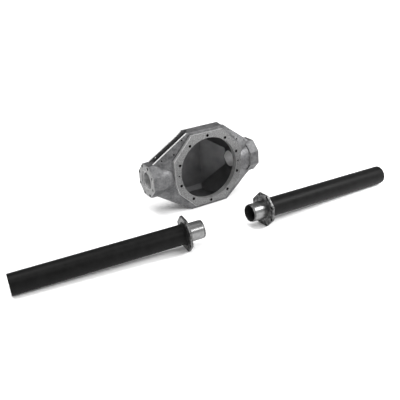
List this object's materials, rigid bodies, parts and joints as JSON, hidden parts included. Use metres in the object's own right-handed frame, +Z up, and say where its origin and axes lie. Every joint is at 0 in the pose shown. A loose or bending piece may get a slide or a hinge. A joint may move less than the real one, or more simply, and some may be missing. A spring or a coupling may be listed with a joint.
{
  "type": "axle housing",
  "caption": "Modular axle housing: a cast centre section with a round bolted carrier opening and open web plates, and two separate axle tubes with bolt-on flanges.",
  "frame": {"origin": "centre of the carrier bolt circle, on the machined carrier face of the centre section", "axes": "+X along the axle to the right, +Y back into the housing, +Z up"},
  "size_m": [1.5304, 0.5066, 0.316],
  "materials": {
    "casting": "as cast, with machined front and end faces",
    "tube": "satin black barrel; the turned snout is bare bright steel",
    "flange": "dark mottled plate with bright edges"
  },
  "bodies": {
    "root": {"centre_housing": "casting", "left_axle_tube": "tube", "left_tube_flange": "flange", "right_axle_tube": "tube", "right_tube_flange": "flange"}
  },
  "joints": []
}
